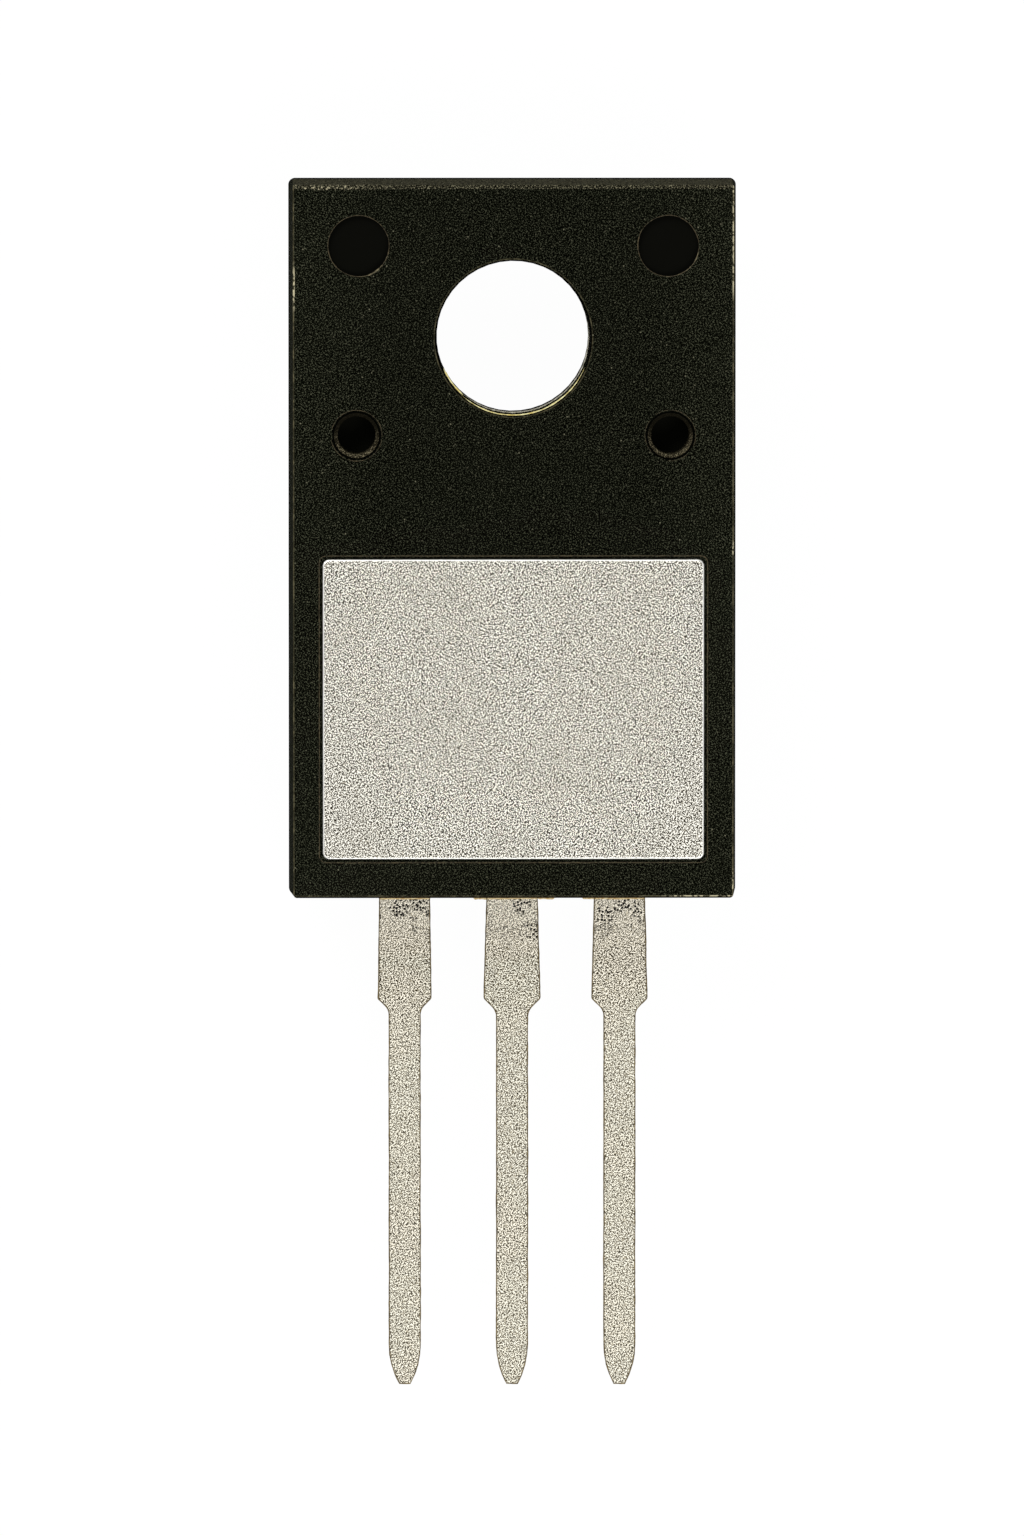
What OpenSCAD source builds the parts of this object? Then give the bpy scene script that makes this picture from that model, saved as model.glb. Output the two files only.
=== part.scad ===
// Three-lead power transistor in a moulded package, with a bare metal heat spreader
// let into its back. It lies face down: the back is up, the hole end points to +Y and
// the leads point to -Y. The origin is the centre of its footprint, on the surface
// that it lies on. Inside, the die faces down, towards the front of the package.

/* [Moulded body] */
// Width of the body at the parting line
body_w = 10.55; // [9.8:0.05:12]
// Length of the body, from the lead end to the hole end
body_l = 16.95; // [16.6:0.05:19]
// Thickness of the lower part of the body
body_t = 4.6; // [4.5:0.1:5.2]
// Thickness of the tab that the hole goes through
tab_t = 2.6; // [2.5:0.05:2.8]
// Length of the thick lower part of the body
thick_l = 10; // [9.4:0.1:10.4]
// Draft of the moulded walls, in degrees
draft = 2.5; // [1:0.5:3]
// Radius of the upright corners at the lead end, at the parting line
corner_r = 0.2; // [0.18:0.02:0.4]
// Radius of the upright corners at the hole end, at the parting line
end_corner_r = 0.16; // [0.16:0.02:0.4]
// Radius of the thick part's two corners at the step
step_corner_r = 0.9; // [0.4:0.1:1.5]
// Radius of the edges round the back and the front face
face_edge_r = 0.07; // [0.03:0.01:0.1]
// How far the front half of the mould stands in from the back half
parting_step = 0.03; // [0.01:0.01:0.06]

/* [Mounting hole] */
// Diameter of the narrow land in the mounting hole
hole_d = 3.58; // [3:0.02:4]
// How much wider the hole is on the back's side of the land, on the diameter
hole_relief = 0.04; // [0.02:0.02:0.2]
// Length of the narrow land
hole_land = 1.4; // [1:0.1:2]
// Width of the broken edge at both mouths of the hole
hole_lip = 0.02; // [0.01:0.01:0.1]
// Distance from the hole's centre to the hole end
hole_from_end = 3.7; // [3.2:0.1:4.4]

/* [Mould marks] */
// Diameter of the two ejector marks
ejector_d = 1.42; // [1:0.02:1.6]
// Depth of the ejector marks
ejector_depth = 0.12; // [0.05:0.01:0.3]
// Distance from the ejector marks to the body's sides
ejector_from_side = 1.65; // [1.3:0.01:2.2]
// Distance from the ejector marks to the hole end
ejector_from_end = 1.54; // [1.2:0.02:2]
// Diameter of the ejector mark on the front, on the base lead's side
front_mark_d = 1.5; // [1:0.1:2]
// Depth of the front's ejector mark
front_mark_depth = 0.1; // [0.05:0.01:0.2]
// Distance from the front's ejector mark to the lead end and to the side wall
front_mark_inset = 1.7; // [1.4:0.1:2.5]
// Diameter of the two support pin holes
pin_hole_d = 0.9; // [0.6:0.02:1.1]
// Width of the bevel round each support pin hole
pin_hole_bevel = 0.11; // [0.05:0.01:0.2]
// Depth of the support pin holes
pin_hole_depth = 1.1; // [0.6:0.1:1.6]
// Distance from the support pin holes to the body's sides
pin_hole_from_side = 1.6; // [1.2:0.01:2]
// Distance from the support pin holes to the hole end
pin_hole_from_end = 5.98; // [5.6:0.02:6.6]

/* [Heat spreader] */
// Distance from the bare metal face to the body's sides
pad_from_side = 0.8; // [0.75:0.01:1.2]
// Length of the bare metal face
pad_l = 7.05; // [6.4:0.05:7.4]
// Distance from the bare metal face to the lead end
pad_from_end = 1.02; // [0.8:0.01:1.2]
// Radius of the bare face's corners
pad_corner_r = 0.16; // [0.12:0.02:0.5]
// Radius of the edge round the bare face
pad_edge_r = 0.05; // [0.02:0.01:0.08]
// How far the metal stands proud of the moulding
pad_proud = 0.02; // [0:0.01:0.06]
// Width of the open groove between the metal and the moulding
pad_groove = 0.05; // [0.02:0.01:0.1]
// Thickness of the heat spreader
spreader_t = 1.3; // [1.1:0.05:1.4]
// How far the locking flange reaches into the moulding
flange_w = 0.3; // [0.15:0.05:0.35]
// Thickness of the locking flange
flange_t = 0.8; // [0.5:0.05:0.9]
// Diameter of the resin keys through the flange's sides
key_d = 0.4; // [0.2:0.05:0.5]

/* [Leads] */
// Distance between neighbouring leads
lead_pitch = 2.54; // [2.3:0.02:2.7]
// Thickness of the leads
lead_t = 0.5; // [0.4:0.05:0.6]
// Length of the leads outside the body
lead_l = 11.6; // [8:0.1:14]
// Width of the leads below the shoulder
lead_w = 0.75; // [0.6:0.01:0.9]
// Width of the leads where they leave the body
root_w = 1.2; // [1:0.01:1.4]
// Width of the emitter lead at its shoulder
emitter_shoulder_w = 1.27; // [1.2:0.01:1.5]
// Width of the collector lead at its shoulder
collector_shoulder_w = 1.35; // [1.2:0.01:1.5]
// Width of the base lead at its shoulder
base_shoulder_w = 1.32; // [1.2:0.01:1.5]
// Distance from the body to the shoulders
shoulder_l = 2.45; // [2:0.05:3.5]
// Radius of the shoulder's outer corner
shoulder_r = 0.1; // [0.04:0.02:0.16]
// Radius of the neck under the shoulder
neck_r = 0.3; // [0.1:0.05:0.35]
// Length of the tapered tip
tip_l = 0.95; // [0.6:0.05:1.4]
// Width of the flat end of the tip
tip_w = 0.26; // [0.16:0.02:0.4]

/* [Lead roots inside the moulding] */
// Distance from the lead end to the bonding posts
post_from_end = 0.5; // [0.4:0.05:0.7]
// Width of the bonding posts
post_w = 2.5; // [2.2:0.05:2.7]
// Length of the bonding posts
post_l = 1.5; // [1.2:0.05:1.8]
// How far the posts are set outwards from their leads
post_shift = 0.35; // [0.2:0.05:0.45]
// Radius of the posts' corners
post_r = 0.2; // [0.1:0.05:0.3]
// Diameter of the resin key hole in each post
post_hole_d = 0.6; // [0.3:0.05:0.7]
// Slope of the collector lead's bend, in degrees
bend_slope = 55; // [45:1:65]
// Inner radius of the collector lead's bends
bend_r = 0.2; // [0.1:0.02:0.3]
// Length of the collector lead's foot on the heat spreader
foot_l = 1.1; // [0.8:0.05:1.3]
// Width of the collector lead's foot
foot_w = 1.8; // [1.5:0.05:2]

/* [Die and bond wires] */
// Width of the silicon die
die_w = 3.6; // [3:0.1:4.6]
// Length of the silicon die
die_l = 3; // [2.6:0.1:3.6]
// Thickness of the silicon die
die_t = 0.25; // [0.15:0.01:0.35]
// Distance from the lead end to the die's centre
die_from_end = 5.1; // [4.9:0.1:5.6]
// Thickness of the solder under the die and under the foot
solder_t = 0.06; // [0.03:0.01:0.1]
// Width of the solder that shows round the die and the foot
solder_margin = 0.1; // [0.05:0.01:0.2]
// Diameter of the emitter wires
emitter_wire_d = 0.25; // [0.2:0.01:0.3]
// Diameter of the base wire
base_wire_d = 0.18; // [0.12:0.01:0.25]
// Length of the wires' bonded ends
bond_l = 0.6; // [0.5:0.05:0.7]
// Distance between the emitter wires
emitter_wire_pitch = 0.7; // [0.5:0.05:0.9]
// Distance from the bonds on the die to its edges
bond_inset = 0.7; // [0.5:0.05:0.9]
// Thickness of the moulding over the top of the wires
wire_cover = 0.7; // [0.5:0.05:0.8]

/* [Hidden] */
$fn = 64;

// The moulding's colour, and those of tinned copper, solder, silicon and aluminium
resin_colour = [0.09, 0.09, 0.08];
tin_colour = [0.74, 0.72, 0.66];
solder_colour = [0.6, 0.6, 0.62];
silicon_colour = [0.32, 0.34, 0.4];
aluminium_colour = [0.85, 0.86, 0.88];

// A cut runs this far past a face that it opens
cut_over = 0.5;
// The lead end of the body, with the whole part centred on the origin
lead_end_y = (lead_l - body_l) / 2;
// The plane where the mould's halves meet, which is also the leads' upper face
parting_z = body_t - tab_t;
lead_z = parting_z - lead_t;
hole_y = body_l - hole_from_end;
pad_w = body_w - 2 * pad_from_side;
hole_r = hole_d / 2;
relief_r = hole_r + hole_relief / 2;

// Levels from the heat spreader's inner face down to the die's face
spreader_top_z = body_t + pad_proud;
spreader_z = spreader_top_z - spreader_t;
soldered_z = spreader_z - solder_t;
die_face_z = soldered_z - die_t;
foot_z = soldered_z - lead_t;

// The collector lead's bend: how far it rises, and where it starts and ends
bend_rise = foot_z - lead_z;
bend_run = bend_rise / tan(bend_slope);
bend_offset = lead_t * tan(bend_slope / 2);
foot_y = post_from_end + bend_run + bend_offset;
foot_end_y = foot_y + foot_l;

// How deep the wires are pressed into what they are bonded to, in wire radii
bond_press = 0.4;
// Slopes of the wires where they leave the die and reach the posts, in degrees
wire_rise_slope = 62;
wire_fall_slope = 48;

function unit(v) = v / norm(v);
function flat(p) = [p[0], p[1]];
// To a ten-thousandth of a millimetre, so that outlines that meet share their points
function neat(v) = is_num(v) ? round(v * 1e4) / 1e4 : [for (c = v) neat(c)];
function turned(a, b) = a[0] * b[1] - a[1] * b[0];
function wrapped(points, i) = points[(i + len(points)) % len(points)];
function sum(v, i = 0) = i < len(v) ? v[i] + sum(v, i + 1) : 0;
// Twice the signed area: positive when the points run anticlockwise
function winding(points) = sum([for (i = [0:len(points) - 1])
    turned(flat(points[i]), flat(wrapped(points, i + 1)))]);
function back_way(points, i) = unit(flat(wrapped(points, i - 1)) - flat(points[i]));
function on_way(points, i) = unit(flat(wrapped(points, i + 1)) - flat(points[i]));
// Half the angle between the two edges that meet at a point
function half_angle(points, i) = acos(back_way(points, i) * on_way(points, i)) / 2;
function is_outward(points, i) =
    turned(-back_way(points, i), on_way(points, i)) * winding(points) > 0;
function fillet_reach(points, i) = points[i][2] / tan(half_angle(points, i));
function fillet_centre(points, i) = neat(flat(points[i])
    + unit(back_way(points, i) + on_way(points, i)) * points[i][2] / sin(half_angle(points, i)));
function fillet_ends(points, i) = points[i][2] == 0 ? [neat(flat(points[i]))] : neat([
    flat(points[i]) + back_way(points, i) * fillet_reach(points, i),
    flat(points[i]) + on_way(points, i) * fillet_reach(points, i)]);

// The slice of a corner's circle that bulges past the corner's two arc ends
module corner_slice(points, i) {
    centre = fillet_centre(points, i);
    ends = fillet_ends(points, i);
    out = flat(points[i]) - centre;
    intersection() {
        translate(centre) circle(r = points[i][2]);
        polygon([centre - 0.1 * out, 2 * ends[0] - centre, centre + 3 * out,
            2 * ends[1] - centre]);
    }
}

// A flat outline through [x, y, radius] points, each corner a true arc of its radius
module rounded_outline(points) {
    rounded = [for (i = [0:len(points) - 1]) if (points[i][2] > 0) i];
    difference() {
        union() {
            polygon([for (i = [0:len(points) - 1]) each fillet_ends(points, i)]);
            for (i = rounded)
                if (is_outward(points, i)) corner_slice(points, i);
        }
        for (i = rounded)
            if (!is_outward(points, i))
                translate(fillet_centre(points, i)) circle(r = points[i][2]);
    }
}

module rounded_rectangle(x0, x1, y0, y1, r) {
    rounded_outline([[x0, y0, r], [x1, y0, r], [x1, y1, r], [x0, y1, r]]);
}

// One wall of a moulded block, seen along the wall: it leans in as it rises
module wall_section(reach, rise, lean, edge_r) {
    top = reach - neat(rise * tan(lean));
    rounded_outline([[0, 0, 0], [reach, 0, 0], [top, rise, edge_r], [0, rise, 0]]);
}

// A block on z = 0 from y = 0 to y = l. Its walls lean in, its upright corners are
// cones and the edge round its top is an arc, all the way round.
module drafted_block(w, l, rise, near_r, far_r, lean, edge_r) {
    translate([0, l - far_r, 0]) rotate([90, 0, 0]) linear_extrude(l - far_r - near_r)
        for (side = [0, 1]) mirror([side, 0]) wall_section(w / 2, rise, lean, edge_r);
    translate([w / 2 - near_r, near_r, 0]) rotate([90, 0, -90])
        linear_extrude(w - 2 * near_r) wall_section(near_r, rise, lean, edge_r);
    translate([far_r - w / 2, l - far_r, 0]) rotate([90, 0, 90])
        linear_extrude(w - 2 * far_r) wall_section(far_r, rise, lean, edge_r);
    for (side = [0, 1]) mirror([side, 0, 0]) {
        translate([w / 2 - near_r, near_r, 0]) rotate([0, 0, -90])
            rotate_extrude(angle = 90) wall_section(near_r, rise, lean, edge_r);
        translate([w / 2 - far_r, l - far_r, 0])
            rotate_extrude(angle = 90) wall_section(far_r, rise, lean, edge_r);
    }
}

// The widest edge radius that a leaning wall of this height leaves room for
function edge_room(r, rise) = min(face_edge_r, 0.9 * (r - rise * tan(draft)));

module body_outside() {
    translate([0, 0, parting_z])
        drafted_block(body_w, body_l, tab_t, corner_r, end_corner_r, draft,
            edge_room(min(corner_r, end_corner_r), tab_t));
    translate([0, parting_step, parting_z]) mirror([0, 0, 1])
        drafted_block(body_w - 2 * parting_step, thick_l - parting_step, parting_z,
            corner_r, step_corner_r, draft, edge_room(corner_r, parting_z));
}

// The mounting hole: a narrow land on the front's side and a wider stretch behind it
module mounting_hole() {
    translate([0, hole_y, 0]) {
        translate([0, 0, parting_z - cut_over])
            cylinder(r = hole_r, h = hole_land + 2 * cut_over);
        translate([0, 0, parting_z + hole_land])
            cylinder(r = relief_r, h = tab_t - hole_land + cut_over);
        translate([0, 0, body_t - hole_lip])
            cylinder(r1 = relief_r, r2 = relief_r + 2 * hole_lip, h = 2 * hole_lip);
        translate([0, 0, parting_z - hole_lip])
            cylinder(r1 = hole_r + 2 * hole_lip, r2 = hole_r, h = 2 * hole_lip);
    }
}

module ejector_marks() {
    for (side = [-1, 1])
        translate([side * (body_w / 2 - ejector_from_side), body_l - ejector_from_end,
            body_t - ejector_depth])
            cylinder(d = ejector_d, h = ejector_depth + cut_over);
    translate([body_w / 2 - front_mark_inset, front_mark_inset, -cut_over])
        cylinder(d = front_mark_d, h = front_mark_depth + cut_over);
}

module support_pin_holes() {
    for (side = [-1, 1])
        translate([side * (body_w / 2 - pin_hole_from_side), body_l - pin_hole_from_end,
            body_t]) {
            translate([0, 0, -pin_hole_depth])
                cylinder(d = pin_hole_d, h = pin_hole_depth + cut_over);
            translate([0, 0, -pin_hole_bevel])
                cylinder(r1 = pin_hole_d / 2, r2 = pin_hole_d / 2 + 2 * pin_hole_bevel,
                    h = 2 * pin_hole_bevel);
        }
}

// The open groove that the metal's rounded edge leaves in the moulding
module pad_gap() {
    translate([0, 0, body_t - pad_edge_r]) linear_extrude(cut_over)
        rounded_rectangle(-pad_w / 2 - pad_groove, pad_w / 2 + pad_groove,
            pad_from_end - pad_groove, pad_from_end + pad_l + pad_groove,
            pad_corner_r + pad_groove);
}

module moulded_body() {
    color(resin_colour) difference() {
        body_outside();
        mounting_hole();
        ejector_marks();
        support_pin_holes();
        pad_gap();
        heat_spreader();
        foot_solder();
        die_solder();
        silicon_die();
        collector_lead();
        base_lead();
        emitter_lead();
        base_wire();
        for (i = [0, 1]) emitter_wire(i);
    }
}

// A thick plated slug: its bare face is flush with the back, and a wider flange with
// half-round notches in its sides locks it into the resin
module heat_spreader() {
    half_w = pad_w / 2 + flange_w;
    near_y = pad_from_end - flange_w;
    far_y = pad_from_end + pad_l + flange_w;
    color(tin_colour) {
        translate([0, pad_from_end, spreader_z + flange_t])
            drafted_block(pad_w, pad_l, spreader_t - flange_t, pad_corner_r, pad_corner_r, 0,
                pad_edge_r);
        translate([0, 0, spreader_z]) linear_extrude(flange_t) difference() {
            rounded_rectangle(-half_w, half_w, near_y, far_y, pad_corner_r + flange_w / 2);
            for (side = [-1, 1], share = [1, 3])
                translate([side * half_w, near_y + (far_y - near_y) * share / 4])
                    circle(d = key_d);
        }
    }
}

// A lead's outline outside the body, from inside its root to the end of its tip
module lead_outline(shoulder_w) {
    taper_y = tip_l - lead_l;
    neck_y = -shoulder_l - (shoulder_w - lead_w) / 2;
    arc_drop = (lead_w - tip_w) / 2;
    arc_r = (pow(tip_l, 2) + pow(arc_drop, 2)) / (2 * arc_drop);
    rounded_outline([
        [-lead_w / 2, taper_y, 0], [lead_w / 2, taper_y, 0],
        [lead_w / 2, neck_y, neck_r], [shoulder_w / 2, -shoulder_l, shoulder_r],
        [root_w / 2, 0, 0], [root_w / 2, post_from_end, 0],
        [-root_w / 2, post_from_end, 0], [-root_w / 2, 0, 0],
        [-shoulder_w / 2, -shoulder_l, shoulder_r], [-lead_w / 2, neck_y, neck_r]]);
    intersection() {
        translate([-lead_w, -lead_l]) square([2 * lead_w, tip_l + lead_w]);
        translate([lead_w / 2 - arc_r, taper_y]) circle(r = arc_r);
        translate([arc_r - lead_w / 2, taper_y]) circle(r = arc_r);
    }
}

// A straight lead with its bonding post, seen as the lead on the +X side
module straight_lead(shoulder_w) {
    color(tin_colour) translate([lead_pitch, 0, lead_z]) linear_extrude(lead_t)
        difference() {
            union() {
                lead_outline(shoulder_w);
                rounded_rectangle(post_shift - post_w / 2, post_shift + post_w / 2,
                    post_from_end, post_from_end + post_l, post_r);
            }
            translate([post_shift + post_w / 2 - post_hole_d, post_from_end + post_l / 2])
                circle(d = post_hole_d);
        }
}

module base_lead() {
    straight_lead(base_shoulder_w);
}

module emitter_lead() {
    mirror([1, 0, 0]) straight_lead(emitter_shoulder_w);
}

// The middle lead, which bends towards the heat spreader and ends in a soldered foot
module collector_lead() {
    far_y = -lead_l - cut_over;
    outer_r = bend_r + lead_t;
    color(tin_colour) intersection() {
        translate([0, 0, lead_z - cut_over]) linear_extrude(body_t) {
            lead_outline(collector_shoulder_w);
            rounded_rectangle(-foot_w / 2, foot_w / 2, post_from_end, foot_end_y, post_r);
        }
        translate([-foot_w, 0, 0]) rotate([90, 0, 90]) linear_extrude(2 * foot_w)
            rounded_outline([
                [far_y, lead_z, 0],
                [post_from_end + bend_offset, lead_z, outer_r],
                [foot_y, foot_z, bend_r],
                [foot_end_y + cut_over, foot_z, 0],
                [foot_end_y + cut_over, soldered_z, 0],
                [foot_y - bend_offset, soldered_z, outer_r],
                [post_from_end, parting_z, bend_r],
                [far_y, parting_z, 0]]);
    }
}

module foot_solder() {
    color(solder_colour) translate([0, 0, soldered_z]) linear_extrude(solder_t)
        rounded_rectangle(-foot_w / 2 - solder_margin, foot_w / 2 + solder_margin,
            foot_y - solder_margin, foot_end_y + solder_margin, post_r);
}

module die_solder() {
    color(solder_colour) translate([0, die_from_end, soldered_z]) linear_extrude(solder_t)
        square([die_w + 2 * solder_margin, die_l + 2 * solder_margin], center = true);
}

module silicon_die() {
    color(silicon_colour) translate([0, die_from_end, die_face_z]) linear_extrude(die_t)
        square([die_w, die_l], center = true);
}

// A round wire in the XZ plane through [x, z, bend radius] points. Its bends are a
// hair thicker than its straight runs, which reach a little way into them.
module bent_wire(points, wire_r) {
    last = len(points) - 1;
    bend_wire_r = 1.02 * wire_r;
    lap = 0.1 * wire_r;
    function end_of(i) = flat(points[i])
        + back_way(points, i) * (i == last ? 0 : fillet_reach(points, i));
    function start_of(i) = flat(points[i])
        + on_way(points, i) * (i == 0 ? 0 : fillet_reach(points, i));
    for (i = [0:last - 1]) {
        way = on_way(points, i);
        from = start_of(i) - way * (i == 0 ? 0 : lap);
        to = end_of(i + 1) + way * (i == last - 1 ? 0 : lap);
        translate([from[0], 0, from[1]])
            rotate([0, 90 - atan2(way[1], way[0]), 0])
                cylinder(r = wire_r, h = norm(to - from));
    }
    for (i = [1:last - 1]) {
        centre = fillet_centre(points, i);
        is_left = turned(-back_way(points, i), on_way(points, i)) > 0;
        from = (is_left ? end_of(i) : start_of(i)) - centre;
        translate([centre[0], 0, centre[1]]) rotate([90, 0, 0])
            rotate([0, 0, atan2(from[1], from[0])])
                rotate_extrude(angle = 180 - 2 * half_angle(points, i))
                    translate([points[i][2], 0]) circle(r = bend_wire_r);
    }
}

// A bond wire from a point on the die to a point on a post, with both ends flattened
module bond_wire(die_point, post_point, wire_d) {
    way = post_point - die_point;
    wire_r = wire_d / 2;
    die_z = die_face_z - (1 - bond_press) * wire_r;
    post_z = lead_z - (1 - bond_press) * wire_r;
    top_z = wire_cover + wire_r;
    rise_end = bond_l / 2 + (die_z - top_z) / tan(wire_rise_slope);
    fall_start = norm(way) - bond_l / 2 - (post_z - top_z) / tan(wire_fall_slope);
    color(aluminium_colour)
        translate([die_point[0], die_point[1], 0]) rotate([0, 0, atan2(way[1], way[0])])
            difference() {
                bent_wire([
                    [-bond_l / 2, die_z, 0], [bond_l / 2, die_z, 1.5 * wire_d],
                    [rise_end, top_z, 3 * wire_d], [fall_start, top_z, 3 * wire_d],
                    [norm(way) - bond_l / 2, post_z, 1.5 * wire_d],
                    [norm(way) + bond_l / 2, post_z, 0]], wire_r);
                translate([-bond_l, -wire_d, die_face_z]) cube([2 * bond_l, 2 * wire_d, wire_d]);
                translate([norm(way) - bond_l, -wire_d, lead_z])
                    cube([2 * bond_l, 2 * wire_d, wire_d]);
            }
}

bond_y = post_from_end + post_l / 2;
die_near_y = die_from_end - die_l / 2;

module base_wire() {
    bond_wire([die_w / 2 - bond_inset, die_near_y + bond_inset], [lead_pitch, bond_y],
        base_wire_d);
}

module emitter_wire(i) {
    shift = i * emitter_wire_pitch;
    bond_wire([bond_inset - die_w / 2 + shift, die_from_end],
        [shift - lead_pitch - emitter_wire_pitch / 2, bond_y], emitter_wire_d);
}

translate([0, lead_end_y, 0]) {
    moulded_body();
    heat_spreader();
    collector_lead();
    base_lead();
    emitter_lead();
    silicon_die();
    die_solder();
    foot_solder();
    base_wire();
    emitter_wire(0);  // emitter_wire_1
    emitter_wire(1);  // emitter_wire_2
}
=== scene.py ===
import math

import bpy
from mathutils import Matrix, Vector, noise


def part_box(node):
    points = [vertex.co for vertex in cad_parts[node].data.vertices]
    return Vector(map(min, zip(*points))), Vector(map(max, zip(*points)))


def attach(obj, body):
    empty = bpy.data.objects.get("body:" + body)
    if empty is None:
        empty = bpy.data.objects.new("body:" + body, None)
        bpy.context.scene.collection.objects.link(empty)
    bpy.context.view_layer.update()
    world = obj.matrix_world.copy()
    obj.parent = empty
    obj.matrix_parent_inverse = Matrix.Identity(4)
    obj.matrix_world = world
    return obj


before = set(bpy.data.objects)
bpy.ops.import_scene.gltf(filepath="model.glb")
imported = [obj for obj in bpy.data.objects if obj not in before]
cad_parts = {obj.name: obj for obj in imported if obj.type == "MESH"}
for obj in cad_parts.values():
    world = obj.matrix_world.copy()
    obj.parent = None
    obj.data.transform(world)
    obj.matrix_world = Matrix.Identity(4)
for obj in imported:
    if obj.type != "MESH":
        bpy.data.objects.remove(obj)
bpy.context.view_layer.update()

scene = bpy.context.scene

# Sizes of the solids, in millimetres

MM = 0.001
BACK_Z = 4.6
PARTING_Z = 2.0
LEAD_BOTTOM_Z = 1.5
DRAFT = math.radians(2.5)
HOLE_R = 1.81
HOLE_FROM_END = 3.7
LAND_R = 1.79
LAND_TOP_Z = 3.4
EJECTOR_R = 0.71
EJECTOR_FROM_SIDE = 1.65
EJECTOR_FROM_END = 1.54
PIN_R = 0.45
PIN_BEVEL_R = 0.56
PIN_FROM_SIDE = 1.6
PIN_FROM_END = 5.98
PAD_FROM_SIDE = 0.8
PAD_FROM_LEAD_END = 1.02
PAD_LENGTH = 7.05
PAD_CORNER_R = 0.16
PAD_GROOVE = 0.05
LEAD_PITCH = 2.54
ROOT_W = 1.2

body_lo, body_hi = ([v / MM for v in corner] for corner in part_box("moulded_body"))
SIDE_X = body_hi[0]
HOLE_END_Y = body_hi[1]
LEAD_END_Y = body_lo[1]
WALL_LEAN = (BACK_Z - PARTING_Z) * math.tan(DRAFT)
FACE_X = SIDE_X - WALL_LEAN
FACE_TOP_Y = HOLE_END_Y - WALL_LEAN
FACE_BOTTOM_Y = LEAD_END_Y + WALL_LEAN
HOLE_Y = HOLE_END_Y - HOLE_FROM_END
EJECTOR_X = SIDE_X - EJECTOR_FROM_SIDE
EJECTOR_Y = HOLE_END_Y - EJECTOR_FROM_END
PIN_X = SIDE_X - PIN_FROM_SIDE
PIN_Y = HOLE_END_Y - PIN_FROM_END
PAD_X = SIDE_X - PAD_FROM_SIDE
PAD_BOTTOM_Y = LEAD_END_Y + PAD_FROM_LEAD_END
PAD_TOP_Y = PAD_BOTTOM_Y + PAD_LENGTH
LEADS = (("emitter", -LEAD_PITCH), ("collector", 0.0), ("base", LEAD_PITCH))


# Materials

def srgb(r, g, b):
    parts = []
    for c in (r / 255, g / 255, b / 255):
        parts.append(c / 12.92 if c <= 0.04045 else ((c + 0.055) / 1.055) ** 2.4)
    return (*parts, 1.0)


class Nodes:
    """A node tree that is being filled. Sockets and plain values go in alike."""

    def __init__(self, tree):
        self.tree = tree
        tree.nodes.clear()

    def add(self, kind, inputs=None, **settings):
        n = self.tree.nodes.new("ShaderNode" + kind)
        for key, value in settings.items():
            setattr(n, key, value)
        for key, value in (inputs or {}).items():
            if isinstance(value, bpy.types.NodeSocket):
                self.tree.links.new(value, n.inputs[key])
            else:
                n.inputs[key].default_value = value
        return n

    def math(self, operation, a, b=0.0, c=0.0):
        return self.add("Math", {0: a, 1: b, 2: c}, operation=operation).outputs[0]

    def times(self, *values):
        out = values[0]
        for v in values[1:]:
            out = self.math("MULTIPLY", out, v)
        return out

    def either(self, *values):
        out = values[0]
        for v in values[1:]:
            out = self.math("MAXIMUM", out, v)
        return out


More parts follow.
